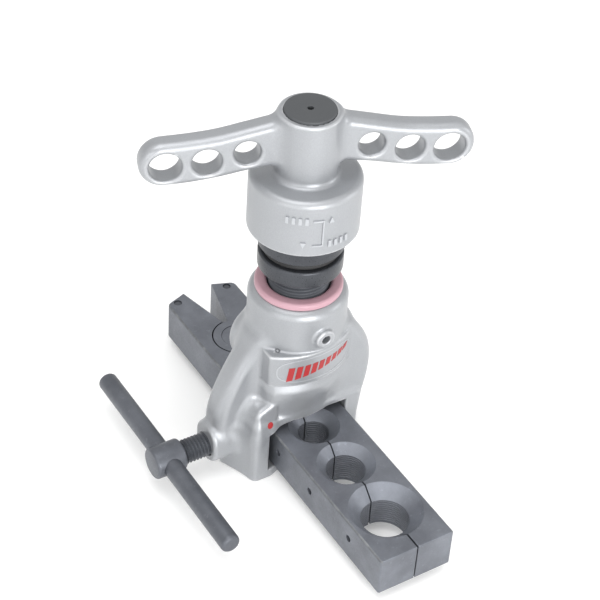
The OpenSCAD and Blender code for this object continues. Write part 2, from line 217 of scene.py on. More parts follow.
def make_mesh(name, verts, faces, normals=None, sharp=None):
    """A Blender object from points in millimetres and faces."""
    mesh = bpy.data.meshes.new(name)
    mesh.from_pydata((np.asarray(verts, float) * MM).tolist(), [], faces)
    mesh.validate()
    mesh.shade_smooth()
    piece = bpy.data.objects.new(name, mesh)
    bpy.context.scene.collection.objects.link(piece)
    if normals is not None and len(mesh.vertices) == len(normals):
        unit = normals / np.maximum(np.linalg.norm(normals, axis=1), 1e-9)[:, None]
        mesh.normals_split_custom_set_from_vertices(unit.tolist())
    if sharp is not None:
        mesh.set_sharp_from_angle(angle=math.radians(sharp))
    return piece


def rounded_profile(points, steps=5):
    """A profile of (r, z, corner radius) points with its corners turned into arcs."""
    out = []
    n = len(points)
    for i, (r, z, radius) in enumerate(points):
        here = np.array([r, z], float)
        if radius <= 0:
            out.append(here)
            continue
        before = np.array(points[i - 1][:2], float) - here
        after = np.array(points[(i + 1) % n][:2], float) - here
        length_b, length_a = np.linalg.norm(before), np.linalg.norm(after)
        before, after = before / length_b, after / length_a
        half = math.acos(float(np.clip(before @ after, -1, 1))) / 2
        reach = min(radius / math.tan(half), 0.49 * min(length_a, length_b))
        radius = reach * math.tan(half)
        middle = (before + after) / np.linalg.norm(before + after)
        centre = here + middle * radius / math.sin(half)
        start, end = here + before * reach - centre, here + after * reach - centre
        a0 = math.atan2(start[1], start[0])
        turn = (math.atan2(end[1], end[0]) - a0 + math.pi) % (2 * math.pi) - math.pi
        for k in range(steps + 1):
            a = a0 + turn * k / steps
            out.append(centre + radius * np.array([math.cos(a), math.sin(a)]))
    return out


def circle(r, z, segments):
    """Points of a level circle about Z."""
    angles = [2 * math.pi * k / segments for k in range(segments)]
    return [(r * math.cos(a), r * math.sin(a), z) for a in angles]


def lathe(name, points, segments=128, sharp=35, steps=5):
    """A solid turned about Z from a closed profile; points on the axis make one vertex."""
    profile = rounded_profile(points, steps)
    verts, rings = [], []
    for r, z in profile:
        if r < 1e-6:
            rings.append([len(verts)] * segments)
            verts.append((0, 0, z))
            continue
        rings.append(list(range(len(verts), len(verts) + segments)))
        verts += circle(r, z, segments)
    faces = []
    for i, ring in enumerate(rings):
        nxt = rings[(i + 1) % len(rings)]
        for k in range(segments):
            m = (k + 1) % segments
            face = list(dict.fromkeys([ring[k], ring[m], nxt[m], nxt[k]]))
            if len(face) > 2:
                faces.append(face)
    return make_mesh(name, verts, faces, sharp=sharp)


def thread_skin(radius, depth, pitch, low, high, segments, rows, runout):
    """Points and faces of a helical V thread, open at both ends, with chamfered ends."""
    verts, faces = [], []
    count = (int((high - low) / pitch) + 2) * rows
    for k in range(segments):
        a = 2 * math.pi * k / segments
        for j in range(count + 1):
            t = j / rows - 1 + k / segments
            z = min(max(low + t * pitch, low), high)
            phase = (z - low) / pitch - k / segments
            groove = abs((phase % 1.0) * 2 - 1)
            flat = min(max((groove - CREST) / (1 - 2 * CREST), 0), 1)
            r = radius - depth * (1 - flat)
            end = min(z - low, high - z)
            r = min(r, radius - depth + min(end / runout, 1.0) * depth)
            verts.append((r * math.cos(a), r * math.sin(a), z))
    stride = count + 1
    for k in range(segments):
        wrap = k == segments - 1
        nxt = 0 if wrap else (k + 1) * stride
        shift = rows if wrap else 0
        for j in range(count - shift):
            faces.append([k * stride + j, nxt + j + shift, nxt + j + 1 + shift, k * stride + j + 1])
    return verts, faces


def line_bore(bm, bore, low, high, segments):
    """Adds the wall of a through bore and joins it to the open ends of a thread."""
    lower, upper = (
        [bm.verts.new([v * MM for v in point]) for point in circle(bore, z, segments)]
        for z in (low, high)
    )
    for k in range(segments):
        m = (k + 1) % segments
        bm.faces.new([lower[k], upper[k], upper[m], lower[m]])
    rims = [e for e in bm.edges if e.is_boundary]
    for z in (low, high):
        loops = [e for e in rims if abs(e.verts[0].co.z - z * MM) < 1e-7]
        bmesh.ops.bridge_loops(bm, edges=loops)


def thread(name, radius, depth, pitch, low, high, bore=0.0, segments=96, rows=8, runout=0.8):
    """A closed rod or sleeve with a true helical V thread from low to high."""
    piece = make_mesh(name, *thread_skin(radius, depth, pitch, low, high, segments, rows, runout))
    bm = bmesh.new()
    bm.from_mesh(piece.data)
    bmesh.ops.remove_doubles(bm, verts=bm.verts, dist=WELD * MM)
    loose = [v for v in bm.verts if not v.link_faces]
    bmesh.ops.delete(bm, geom=loose, context="VERTS")
    if bore:
        line_bore(bm, bore, low, high, segments)
    else:
        bmesh.ops.holes_fill(bm, edges=[e for e in bm.edges if e.is_boundary])
    bmesh.ops.recalc_face_normals(bm, faces=bm.faces)
    bm.to_mesh(piece.data)
    bm.free()
    piece.data.shade_smooth()
    piece.data.set_sharp_from_angle(angle=math.radians(40))
    return piece


def turn_mesh(piece, matrix):
    """Moves a piece by changing its mesh, so that its object stays at the origin."""
    piece.data.transform(matrix)
    return piece


def moved(x, y, z):
    """Matrix that moves a piece's zero to a point in millimetres."""
    return Matrix.Translation(Vector((x, y, z)) * MM)


def along_x(x, y, z):
    """Matrix that lays a Z-turned piece along +X with its zero at a point in millimetres."""
    return moved(x, y, z) @ Matrix.Rotation(math.radians(90), 4, "Y")


def along_y(x, y, z):
    """Matrix that lays a Z-turned piece along -Y with its zero at a point in millimetres."""
    return moved(x, y, z) @ Matrix.Rotation(math.radians(90), 4, "X")


def cut_away(piece, *cutters):
    """Subtracts closed pieces from a piece and removes them."""
    for cutter in cutters:
        step = piece.modifiers.new("cut", "BOOLEAN")
        step.operation = "DIFFERENCE"
        step.solver = "EXACT"
        step.object = cutter
        with bpy.context.temp_override(object=piece, active_object=piece):
            bpy.ops.object.modifier_apply(modifier=step.name)
        bpy.data.objects.remove(cutter)
    bm = bmesh.new()
    bm.from_mesh(piece.data)
    bmesh.ops.remove_doubles(bm, verts=bm.verts, dist=WELD * MM)
    bmesh.ops.dissolve_degenerate(bm, edges=bm.edges, dist=WELD * MM)
    bm.to_mesh(piece.data)
    bm.free()
    return piece


def place(piece, body, slot, material, *nodes):
    """Gives a piece its material and its body, and hides the CAD nodes it stands for; the slot is not
    used.
    """
    piece.data.materials.clear()
    piece.data.materials.append(material)
    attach(piece, body)
    if nodes:
        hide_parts(*nodes)
    return piece


# ---- the cast yoke ----

NECK_R = 19.6  # round neck
NECK_ROUND = 4.0  # its upper edge
NECK_BASE = 45.0  # where it grows out of the shoulders
LEG_X = 24.6  # legs, half width and half depth
LEG_Y = 14.5
LEG_TOP = 24.0
FLANK_LEFT = -20.0  # flanks that rise from the legs to the neck
FLANK_RIGHT = 22.0
FLANK_Y = 9.5
FLANK_TOP = 61.0
WINDOW_LEFT = -19.3  # the window that the bar slides through
WINDOW_RIGHT = 16.8
WINDOW_TOP = 21.5
WINDOW_CORNER_Z = 18.4  # its upper left corner slants up to the right
WINDOW_CORNER_RISE = 0.28
ARCH_R = 26.8  # wall over the window, an arc in plan about the panel's centre
ARCH_BULGE = 2.5
ARCH_NIP = 1.5
PANEL_LOW = 44.0  # raised panel across the front, an arc in plan
PANEL_HIGH = 59.0
PANEL_R = 30.7
PANEL_X = -2.0
PANEL_Y = 10.5
PANEL_LEFT = -20.2
PANEL_RIGHT = 19.5
REAR_PANEL_RIGHT = 15.0
PAD_TOP = 30.2  # thick pad on a leg's corner beside the window
PAD_RIGHT = -14.8
SHOULDER_HEIGHTS = (4, 13, 20, 30, 40, 48, 55, 60, 64)  # full shoulder on the far side
SHOULDER_REACH = (23, 24.2, 26.8, 28.9, 29.2, 27.4, 23.6, 19.8, 15)
SHOULDER_Y = 13.9
LOBE = (-9.0, 50.0, 14.0)  # round lobe behind the rib: x, z and radius
LOBE_BACK = 14.5
BOSS_FACE = YOKE_LOW[0]  # upright oval boss of the clamp screw
BOSS_R = 7.7
BOSS_RISE = 2.8
RIB_Y = 6.2  # rib between the neck, the clamp's boss and the foot
RIB_HEIGHTS = (-4.8, 4, 14, 24, 30, 37, 45, 52, 62)
RIB_REACH = (30.5, 35, 37.4, 37.6, 36.4, 33.9, 30.1, 26.2, 19.5)
FOOT_SLANT = (0.882, 0.471)  # outward direction of the slanted sides of the foot under the boss
FOOT_SIDE = 28.4
FOOT_GAP = 21.0  # opening between the feet
CAVITY_R = 12.6  # room for the cone over the bar
BUSH_R = BUSH_HIGH[0]
CLAMP_DEPTH = 0.85  # depth of the clamp screw's thread
CLAMP_R = (CLAMP_HIGH[2] - CLAMP_LOW[2]) / 2 - 1.5
LOCK_Z = (LOCK_LOW[2] + LOCK_HIGH[2]) / 2
LOCK_R = (LOCK_HIGH[0] - LOCK_LOW[0]) / 2
LOCK_BOSS_R = 4.0
PIT = (-15.6, -12.0, 0.9)  # small pit in the panel's ledge: x, y and radius


def mirrored(x, y):
    """Coordinates in which the back of the casting repeats the front turned by half a turn."""
    turn = np.where(y > 0, -1.0, 1.0)
    return x * turn, y * turn


def panel_distance(u, v):
    """Distance in plan from the centre of the front panel's arc."""
    return np.hypot(u - PANEL_X, v - PANEL_Y)


def rib_and_foot(x, y, z):
    """The curved rib on the clamp's side, and the slanted foot that it runs into."""
    reach = smooth_curve(z, RIB_HEIGHTS, RIB_REACH)
    rib_plan = both(slab(x, -reach, -14), np.abs(y) - RIB_Y, 4.5)
    slant = FOOT_SLANT[0] * -x + FOOT_SLANT[1] * np.abs(y) - FOOT_SIDE
    foot_plan = both(smooth_max(slant, np.abs(y) - LEG_Y, 1.0), x + 18, 0.5)
    foot = both(foot_plan, slab(z, FLOOR_Z, 20), 1.5)
    rib = both(rib_plan, slab(z, 8, 62), 2.0)
    return smooth_min(rib, foot, 5.0)


def legs(x, y, z):
    """Two legs with the feet, the flanks over them and the rib above and below the clamp."""
    plan = both(slab(x, -LEG_X, LEG_X - 1), np.abs(y) - LEG_Y, 1.3)
    block = both(plan, slab(z, FLOOR_Z, LEG_TOP), 1.0)
    side = both(slab(x, FLANK_LEFT, FLANK_RIGHT), np.abs(y) - FLANK_Y + ramp(z, 26, 50), 5.0)
    flank = both(side, slab(z, 12, FLANK_TOP), 3.0)
    return smooth_min(smooth_min(block, flank, 5.0), rib_and_foot(x, y, z), 7.0)


def corner_pad(y, z, u):
    """Thick pad on a leg's corner beside the window, with a top that slopes to the outside."""
    top = PAD_TOP + 0.5 * (u + LEG_X)
    plan = both(slab(u, -LEG_X, PAD_RIGHT), np.abs(y) - LEG_Y, 1.6)
    return both(plan, np.maximum(16 - z, (z - top) * 0.9), 2.2)


def arch(u, v, x, z):
    """The wall over the window: it bulges under the panel and turns in towards the bar."""
    radius = ARCH_R + ARCH_BULGE * ramp(z, 25, 37.5) - ARCH_NIP * ramp(z, 38, 43.5)
    plan = both(panel_distance(u, v) - radius, slab(x, -20, 20), 3.0)
    return both(plan, slab(z, WINDOW_TOP - 2, PANEL_LOW + 3), 1.0)


def panel(y, z, u, v):
    """Raised panel with a flat ledge on top and a square left end."""
    right = np.where(y < 0, PANEL_RIGHT, REAR_PANEL_RIGHT)
    plan = both(panel_distance(u, v) - PANEL_R, slab(u, PANEL_LEFT, right), 0.7)
    return both(plan, slab(z, PANEL_LOW, PANEL_HIGH), 0.6)


def far_shoulder(x, y, z):
    """Full round shoulder on +X."""
    reach = smooth_curve(z, SHOULDER_HEIGHTS, SHOULDER_REACH)
    plan = both(slab(x, 8, reach), np.abs(y) - SHOULDER_Y, 5.0)
    return both(plan, slab(z, 12, 63), 2.5)


def rear_lobe(x, y, z):
    """Smaller round lobe behind the rib on -X."""
    disc = np.hypot(x - LOBE[0], z - LOBE[1]) - LOBE[2]
    return both(disc, slab(y, 2.0, LOBE_BACK), 4.0)


def clamp_boss(x, y, z):
    """Upright oval boss for the clamp screw."""
    over = z - np.clip(z, CLAMP_Z, CLAMP_Z + BOSS_RISE)
    return both(np.hypot(y, over) - BOSS_R, slab(x, BOSS_FACE, -16), 1.5)


def window(x, z):
    """The opening for the bar, with one slanted corner."""
    corner = (z - WINDOW_CORNER_Z) - WINDOW_CORNER_RISE * (x - WINDOW_LEFT)
    opening = np.maximum(slab(x, WINDOW_LEFT, WINDOW_RIGHT), np.maximum(-z, z - WINDOW_TOP))
    return np.maximum(opening, corner * 0.96)


def yoke_holes(x, y, z):
    """The openings of the casting, each with the width of its rounded edge."""
    radius = np.hypot(x, y)
    return (
        (window(x, z), 0.7),
        (np.maximum(np.abs(x) - FOOT_GAP / 2, z - 1), 0.8),
        (np.maximum(radius - CAVITY_R, slab(z, WINDOW_TOP - 2, BUSH_LOW[2])), 0.8),
        (np.maximum(radius - BUSH_R - 0.02, BUSH_LOW[2] - z), 0.001),
        (np.maximum(np.hypot(y, z - CLAMP_Z) - CLAMP_R - 0.05, x + 15), 0.5),
        (np.maximum(np.hypot(x, z - LOCK_Z) - LOCK_R - 0.02, y + 10), 0.4),
        (np.sqrt((x - PIT[0]) ** 2 + (y - PIT[1]) ** 2 + (z - PANEL_HIGH) ** 2) - PIT[2], 0.3),
    )


def yoke_field(x, y, z):
    """Signed distance, in millimetres, of the whole casting."""
    u, v = mirrored(x, y)
    neck = both(np.hypot(x, y) - NECK_R, slab(z, NECK_BASE, YOKE_HIGH[2]), NECK_ROUND)
    body = smooth_min(legs(x, y, z), clamp_boss(x, y, z), 2.2)
    body = smooth_min(body, arch(u, v, x, z), 1.6)
    body = smooth_min(body, corner_pad(y, z, u), 0.9 + 4.5 * ramp(-u, 17, 24))
    body = smooth_min(body, neck, 3.0)
    body = smooth_min(body, far_shoulder(x, y, z), 3.0)
    body = smooth_min(body, rear_lobe(x, y, z), 2.5)
    body = smooth_min(body, panel(y, z, u, v), 0.9)
    lock = both(np.hypot(x, z - LOCK_Z) - LOCK_BOSS_R, slab(y, YOKE_LOW[1], -12), 0.9)
    body = smooth_min(body, lock, 1.4)
    body = both(body, FLOOR_Z - z, 0.6)
    for hole, edge in yoke_holes(x, y, z):
        body = smooth_max(body, -hole, edge)
    return body


# ---- the handle ----

ARM_T = 9.0  # flat arms
ARM_REACH = 53.0
ARM_Z = BARREL_LOW + 32.6
ARM_END_R = 9.0
ARM_TURN = math.radians(-20)
ARM_HEIGHTS = (  # reach, lower edge and upper edge of an arm, from its axis
    (0, -4.2, 15.8),
    (12, -3.6, 15.3),
    (22, -4.9, 13.2),
    (34, -7.2, 10.6),
    (44, -8.5, 9.5),
    (53, -9.0, 9.0),
)
GRIP_HOLES = ((22.8, 3.4, 4.8), (37.4, 0.5, 5.4), (52.4, -0.6, 5.9))  # reach, rise, radius
HUB_R = 11.8
HUB_BASE = BARREL_LOW + 15
BARREL_R = 21.3
BARREL_TOP = BARREL_LOW + 23.8
CHAMBER_R = 18.6  # the clutch's room in the barrel
CHAMBER_LOW = BARREL_LOW + 2.1
CHAMBER_HIGH = BARREL_LOW + 18.9
MOUTH_R = 17.1  # the barrel's lower opening
THROAT_R = 10.2  # the opening above the clutch
THROAT_HIGH = BARREL_LOW + 24.8
WELL_R = 8.2  # the hollow of the hub, and the cap's seat on top
WELL_LOW = BARREL_LOW + 24
SEAT_DEPTH = 1.8
SEAT_GAP = 0.05


def arm(r, t, z):
    """One flat arm in reach, thickness and height, with rounded edges."""
    reach, under, over = zip(*ARM_HEIGHTS)
    at = np.minimum(r, ARM_REACH)
    low = ARM_Z + smooth_curve(at, reach, under)
    high = ARM_Z + smooth_curve(at, reach, over)
    middle, half = (low + high) / 2, (high - low) / 2
    outline = np.hypot(np.maximum(r - ARM_REACH, 0), z - middle) - half
    return both(outline, np.abs(t) - ARM_T / 2, 3.0)


def handle_hollows(radius, z):
    """The rooms inside the barrel and the hub."""
    return (
        np.maximum(radius - CHAMBER_R, slab(z, CHAMBER_LOW, CHAMBER_HIGH)),
        np.maximum(radius - MOUTH_R, slab(z, BARREL_LOW - 2, CHAMBER_LOW + 0.2)),
        np.maximum(radius - THROAT_R, slab(z, CHAMBER_HIGH - 0.9, THROAT_HIGH)),
        np.maximum(radius - WELL_R, WELL_LOW - z),
        np.maximum(radius - CAP_HIGH[0] - SEAT_GAP, HUB_TOP - SEAT_DEPTH - z),
    )


def handle_field(r, t, z):
    """Signed distance of the handle, with its arms along the first axis."""
    radius = np.hypot(r, t)
    hub = both(radius - HUB_R, slab(z, HUB_BASE, HUB_TOP), 1.0)
    arms = np.maximum(arm(np.abs(r), t, z), 4 - np.abs(r))
    top = smooth_min(hub, arms, 3.6)
    for reach, rise, hole_r in GRIP_HOLES:
        hole = np.hypot(np.abs(r) - reach, z - ARM_Z - rise) - hole_r
        top = smooth_max(top, -hole, 1.8)
    top = both(top, z - HUB_TOP, 0.9)
    barrel = both(radius - BARREL_R, z - BARREL_TOP, 2.6)
    barrel = both(barrel, BARREL_LOW - z, 0.45)
    solid = smooth_min(top, barrel, 2.4)
    for hollow in handle_hollows(radius, z):
        solid = np.maximum(solid, -hollow)
    return solid


# ---- die bar ----

BAR_TOP = BAR_HIGH[2]
BAR_HALF = BAR_HIGH[0]
BAR_FRONT = BAR_LOW[1]
BAR_BACK = BAR_HIGH[1]
BEVEL = 0.9  # rounding of the long edges, the split's edges and the ends
SPLIT_ROUND = 0.3
END_ROUND = 0.5
EDGE_STEPS = (0.03, 0.1, 0.2, 0.3, 0.6, 0.9)
SPLIT = 0.3  # half of the gap between the halves
LAP_GAP = 0.05  # half of the gap between the two layers of the knuckle
KNUCKLE_R = 10.3
KNUCKLE_GAP = 0.55
KNUCKLE_START = 84.0  # where the knuckle's arc meets the notch, in degrees
NOTCH_Y = 50.0  # notch between the tails
NOTCH_X = 6.8
TAIL_DROP = 3.0  # tails with a slanted end and a rounded outer corner
TAIL_ROUND = 3.0
TAIL_STEPS = 12
GRIP_PITCH = 1.1  # grip grooves in the dies
GRIP_DEPTH = 0.4
GRIP_LAND = 0.5  # share of the pitch that stands proud between two grooves
DIMPLE_DEPTH = 1.7  # drilled dimples in the sides: depth, radius and cone at the bottom
DIMPLE_R = 1.5
DIMPLE_TIP = 0.9
ARC_STEPS = 44
PIN_HEAD_R = (PIN_HIGH[0] - PIN_LOW[0]) / 2
PIN_R = 4.0
PIN_HEAD_T = 2.4
PIN_RECESS = 0.1  # how far the hinge pin's head lies below its box
DIES = [
    (m["dims"]["r_mm"], m["dims"]["length_mm"], m["pos_m"][1] / MM)
    for m in frame["record"]["mounts"]
    if m["name"].startswith("die_")
]


def die_radius(die, z):
    """Radius of a die at a height: fine grip grooves in the bore, then the smooth countersink."""
    radius, length, _ = die
    if z >= length:
        return radius + (z - length)
    half_groove = (1 - GRIP_LAND) / 2
    from_middle = abs((z / GRIP_PITCH) % 1.0 - GRIP_LAND - half_groove)
    return radius + GRIP_DEPTH * max(1 - from_middle / half_groove, 0)


def edge_inset(z, size):
    """How far a rounded edge of this size stands back at a height in the bar."""
    near = max(size - z, size - (BAR_TOP - z), 0)
    return size - math.sqrt(max(size ** 2 - near ** 2, 0))


def arc(radius, y, start, end, steps, x=0.0):
    """Points on an arc about a centre, from one angle to another."""
    angles = [start + (end - start) * k / steps for k in range(steps + 1)]
    return [(x + radius * math.cos(a), y + radius * math.sin(a)) for a in angles]


def tail_corner(inset):
    """The rounded outer corner of a tail, where its side meets its slanted end."""
    tilt = math.atan((TAIL_DROP + 0.1) / (BAR_HALF - NOTCH_X))
    x = BAR_HALF - TAIL_ROUND
    y = BAR_BACK - (x - NOTCH_X) * math.tan(tilt) - TAIL_ROUND / math.cos(tilt)
    return arc(TAIL_ROUND - inset, y, 0, math.pi / 2 - tilt, TAIL_STEPS, x)


def knuckle_arc(split, knuckle):
    """The knuckle's round on one layer, or on the other layer the hollow that takes it."""
    radius = KNUCKLE_R if knuckle else KNUCKLE_R + KNUCKLE_GAP
    start = math.radians(KNUCKLE_START - 360 if knuckle else KNUCKLE_START)
    points = arc(radius, PIVOT_Y, start, -math.acos(split / radius), ARC_STEPS)
    slope = (NOTCH_X - SPLIT) / (BAR_BACK - NOTCH_Y)
    y = points[0][1]
    return [(split + (y - NOTCH_Y) * slope, y)] + points[1:]


def bar_outline(z, upper):
    """Outline of the half on +X at a height, the same number of points at every height."""
    split = SPLIT + edge_inset(z, SPLIT_ROUND)
    side = BAR_HALF - edge_inset(z, BEVEL)
    end = edge_inset(z, END_ROUND)
    front = BAR_FRONT + end
    points = [(split, front), (side - END_ROUND, front), (side, front + END_ROUND)]
    points += tail_corner(BAR_HALF - side)
    points.append((NOTCH_X + end, BAR_BACK - end))
    points += knuckle_arc(split, (z > BAR_TOP / 2) == upper)
    for die in sorted(DIES, key=lambda d: -d[2]):
        radius = die_radius(die, z)
        turn = math.acos(split / radius)
        points += arc(radius, die[2], turn, -turn, ARC_STEPS)
    return points


def bar_levels():
    """Heights at which the bar's outline is taken."""
    lap = (BAR_TOP / 2 - LAP_GAP, BAR_TOP / 2 + LAP_GAP)
    levels = {0.0, BAR_TOP} | set(EDGE_STEPS) | {BAR_TOP - v for v in EDGE_STEPS}
    for k in range(1, int((BAR_TOP - 1) / GRIP_PITCH)):
        for phase in (0, GRIP_LAND, (1 + GRIP_LAND) / 2):
            levels.add(round((k + phase) * GRIP_PITCH, 3))
    levels |= {die[1] for die in DIES}
    levels = sorted(v for v in levels if abs(v - BAR_TOP / 2) > 2 * LAP_GAP)
    kept = [v for i, v in enumerate(levels) if i == 0 or v - levels[i - 1] > 0.02]
    return sorted(kept + list(lap))


def half_bar(name, side, upper):
    """One half of the split bar, as outlines stacked in height."""
    levels = bar_levels()
    verts, faces = [], []
    for z in levels:
        verts += [(side * x, y, z) for x, y in bar_outline(z, upper)]
    n = len(verts) // len(levels)
    for i in range(len(levels) - 1):
        for k in range(n):
            m = (k + 1) % n
            faces.append([i * n + k, i * n + m, (i + 1) * n + m, (i + 1) * n + k])
    faces.append(list(range(n))[::-1])
    faces.append([(len(levels) - 1) * n + k for k in range(n)])
    if side < 0:
        faces = [face[::-1] for face in faces]
    piece = make_mesh(name, verts, faces)
    cutters = [drill(PIN_R + 0.03, -1, BAR_TOP + 1, 0, PIVOT_Y)]
    if upper:
        cutters.append(drill(PIN_HEAD_R + 0.08, BAR_TOP - PIN_HEAD_T, BAR_TOP + 1, 0, PIVOT_Y))
    tail_low, tail_high = node_box("tail_pin_right")
    tail = (tail_low + tail_high) / 2
    cutters.append(drill(tail_high[0] - tail[0] + 0.05, -1, BAR_TOP + 1, side * tail[0], tail[1]))
    for die in DIES:
        dimple = lathe("dimple", [
            (0, -3, 0), (DIMPLE_R, -3, 0), (DIMPLE_R, 0, 0), (0, DIMPLE_TIP, 0),
        ], 40)
        inward = Matrix.Rotation(math.radians(-90 * side), 4, "Y")
        foot = moved(side * (BAR_HALF - DIMPLE_DEPTH), die[2], CLAMP_Z)
        cutters.append(turn_mesh(dimple, foot @ inward))
    cut_away(piece, *cutters)
    piece.data.shade_smooth()
    piece.data.set_sharp_from_angle(angle=math.radians(28))
    return piece


def drill(radius, low, high, x, y):
    """A closed upright cylinder to cut with."""
    tool = lathe("drill", [(0, low, 0), (radius, low, 0), (radius, high, 0), (0, high, 0)], 64)
    return turn_mesh(tool, moved(x, y, 0))


# ---- materials ----

def new_material(name, metallic=0.0):
    """A material, its node tree and its Principled shader."""
    material = bpy.data.materials.new(name)
    material.use_nodes = True
    tree = material.node_tree
    shader = tree.nodes["Principled BSDF"]
    shader.inputs["Metallic"].default_value = metallic
    return material, tree, shader


def noise(tree, scale, detail=4.0, rough=0.55, stretch=None):
    """Noise in the piece's own coordinates, scale in features per metre."""
    texture = tree.nodes.new("ShaderNodeTexNoise")
    texture.inputs["Scale"].default_value = scale
    texture.inputs["Detail"].default_value = detail
    texture.inputs["Roughness"].default_value = rough
    coords = tree.nodes.new("ShaderNodeTexCoord")
    source = coords.outputs["Object"]
    if stretch:
        mapping = tree.nodes.new("ShaderNodeMapping")
        mapping.inputs["Scale"].default_value = stretch
        tree.links.new(source, mapping.inputs["Vector"])
        source = mapping.outputs["Vector"]
    tree.links.new(source, texture.inputs["Vector"])
    return texture.outputs["Fac"]


def graded(tree, value, low, high, out_low, out_high):
    """Maps a value's range onto another."""
    node = tree.nodes.new("ShaderNodeMapRange")
    node.inputs["From Min"].default_value = low
    node.inputs["From Max"].default_value = high
    node.inputs["To Min"].default_value = out_low
    node.inputs["To Max"].default_value = out_high
    tree.links.new(value, node.inputs["Value"])
    return node.outputs["Result"]


def mixed(tree, factor, a, b):
    """Mixes two colours, each a tuple or a socket."""
    node = tree.nodes.new("ShaderNodeMix")
    node.data_type = "RGBA"
    for socket, colour in (("A", a), ("B", b)):
        target = [s for s in node.inputs if s.name == socket and s.type == "RGBA"][0]
        if isinstance(colour, tuple):
            target.default_value = colour + (1,)
        else:
            tree.links.new(colour, target)
    tree.links.new(factor, node.inputs["Factor"])
    return [s for s in node.outputs if s.type == "RGBA"][0]


def edges_of(tree, low, high, amount):
    """0 on flat surfaces, rising to the amount on the raised edges of a dense mesh."""
    geometry = tree.nodes.new("ShaderNodeNewGeometry")
    return graded(tree, geometry.outputs["Pointiness"], low, high, 0.0, amount)


def bumps(tree, shader, *layers):
    """Stacks bump layers, each a value with a depth in metres."""
    normal = None
    for value, depth in layers:
        node = tree.nodes.new("ShaderNodeBump")
        node.inputs["Strength"].default_value = 1.0
        node.inputs["Distance"].default_value = depth
        tree.links.new(value, node.inputs["Height"])
        if normal:
            tree.links.new(normal, node.inputs["Normal"])
        normal = node.outputs["Normal"]
    tree.links.new(normal, shader.inputs["Normal"])


def tone(light, red, green, blue):
    """A colour made lighter or darker."""
    return light * red, light * green, light * blue


def roughen(tree, shader, value, low, high, start=0.3, end=0.7):
    """Lets a value vary the roughness between two limits."""
    tree.links.new(graded(tree, value, start, end, low, high), shader.inputs["Roughness"])


def silver_paint(name="silver_paint", rub_and_highlight=1.0, light=1.0):
    """Satin silver paint over a fine casting, a little brighter on raised edges: partly rubbed paint,
    partly a painted highlight.
    """
    material, tree, shader = new_material(name, 0.55)
    cloud = noise(tree, 60, 3)
    flake = noise(tree, 2600, 2, 0.7)
    base = mixed(tree, cloud, tone(light, 0.302, 0.312, 0.328), tone(light, 0.352, 0.363, 0.38))
    speck = mixed(tree, graded(tree, flake, 0.35, 0.7, 0, 0.3), base, tone(light, 0.465, 0.476, 0.495))
    # raised edges, found by pointiness, turn lighter: partly rubbed paint, partly a painted highlight
    rubbed_and_highlight = mixed(tree, edges_of(tree, 0.51, 0.58, rub_and_highlight), speck, tone(light, 0.62, 0.63, 0.645))
    tree.links.new(rubbed_and_highlight, shader.inputs["Base Color"])
    roughen(tree, shader, cloud, 0.33, 0.45)
    bumps(tree, shader, (noise(tree, 900, 3, 0.6), 0.00003), (noise(tree, 160, 2), 0.00008))
    return material


def dark_steel(name="dark_steel", light=1.0, rough=0.40):
    """Dark phosphated steel, mottled and lightly oiled."""
    material, tree, shader = new_material(name, 0.6)
    cloud = noise(tree, 60, 5, 0.6)
    grain = noise(tree, 1500, 3, 0.7)
    dark = tone(light, 0.130, 0.138, 0.158)
    pale = tone(light, 0.188, 0.200, 0.226)
    base = mixed(tree, graded(tree, cloud, 0.35, 0.68, 0, 1), dark, pale)
    spots = graded(tree, noise(tree, 420, 4, 0.75), 0.60, 0.72, 0, 0.5)
    base = mixed(tree, spots, base, tone(1.35, *pale))
    tree.links.new(base, shader.inputs["Base Color"])
    roughen(tree, shader, grain, rough - 0.06, rough + 0.12)
    bumps(tree, shader, (grain, 0.00002), (cloud, 0.00005))
    return material


def worn_steel():
    """The bar's long edges, where the dark finish is rubbed through in places."""
    material, tree, shader = new_material("worn_steel", 0.6)
    patch = graded(tree, noise(tree, 260, 5, 0.7), 0.45, 0.75, 0, 1)
    colour = mixed(tree, patch, (0.15, 0.157, 0.166), (0.25, 0.258, 0.267))
    tree.links.new(colour, shader.inputs["Base Color"])
    roughen(tree, shader, patch, 0.42, 0.34, 0, 1)
    bumps(tree, shader, (noise(tree, 1200, 3), 0.00002))
    return material


def ground_steel(name="ground_steel", colour=(0.42, 0.42, 0.41), rough=0.28):
    """Bare ground steel with fine turning marks."""
    material, tree, shader = new_material(name, 1.0)
    marks = noise(tree, 700, 3, 0.6, stretch=(0.15, 0.15, 3.0))
    tree.links.new(mixed(tree, marks, tone(0.8, *colour), colour), shader.inputs["Base Color"])
    roughen(tree, shader, marks, rough - 0.05, rough + 0.1)
    bumps(tree, shader, (marks, 0.00001))
    return material


def moulded(name, colour, shade, rough, grain_scale, depth):
    """A moulded plastic or rubber with a fine grain and slight unevenness of colour."""
    material, tree, shader = new_material(name)
    cloud = noise(tree, 120, 3)
    tree.links.new(mixed(tree, cloud, shade, colour), shader.inputs["Base Color"])
    roughen(tree, shader, cloud, rough, rough + 0.08)
    bumps(tree, shader, (noise(tree, grain_scale, 3, 0.6), depth))
    return material


def pale_floor():
    """The plain pale surface that the tool stands on, faintly lit from below like a light table."""
    material, tree, shader = new_material("pale_floor")
    pale = mixed(tree, noise(tree, 8, 2), (0.83, 0.83, 0.825), (0.85, 0.85, 0.845))
    tree.links.new(pale, shader.inputs["Base Color"])
    shader.inputs["Roughness"].default_value = 0.8
    shader.inputs["Emission Color"].default_value = (1.0, 1.0, 0.99, 1)
    shader.inputs["Emission Strength"].default_value = 0.2
    return material


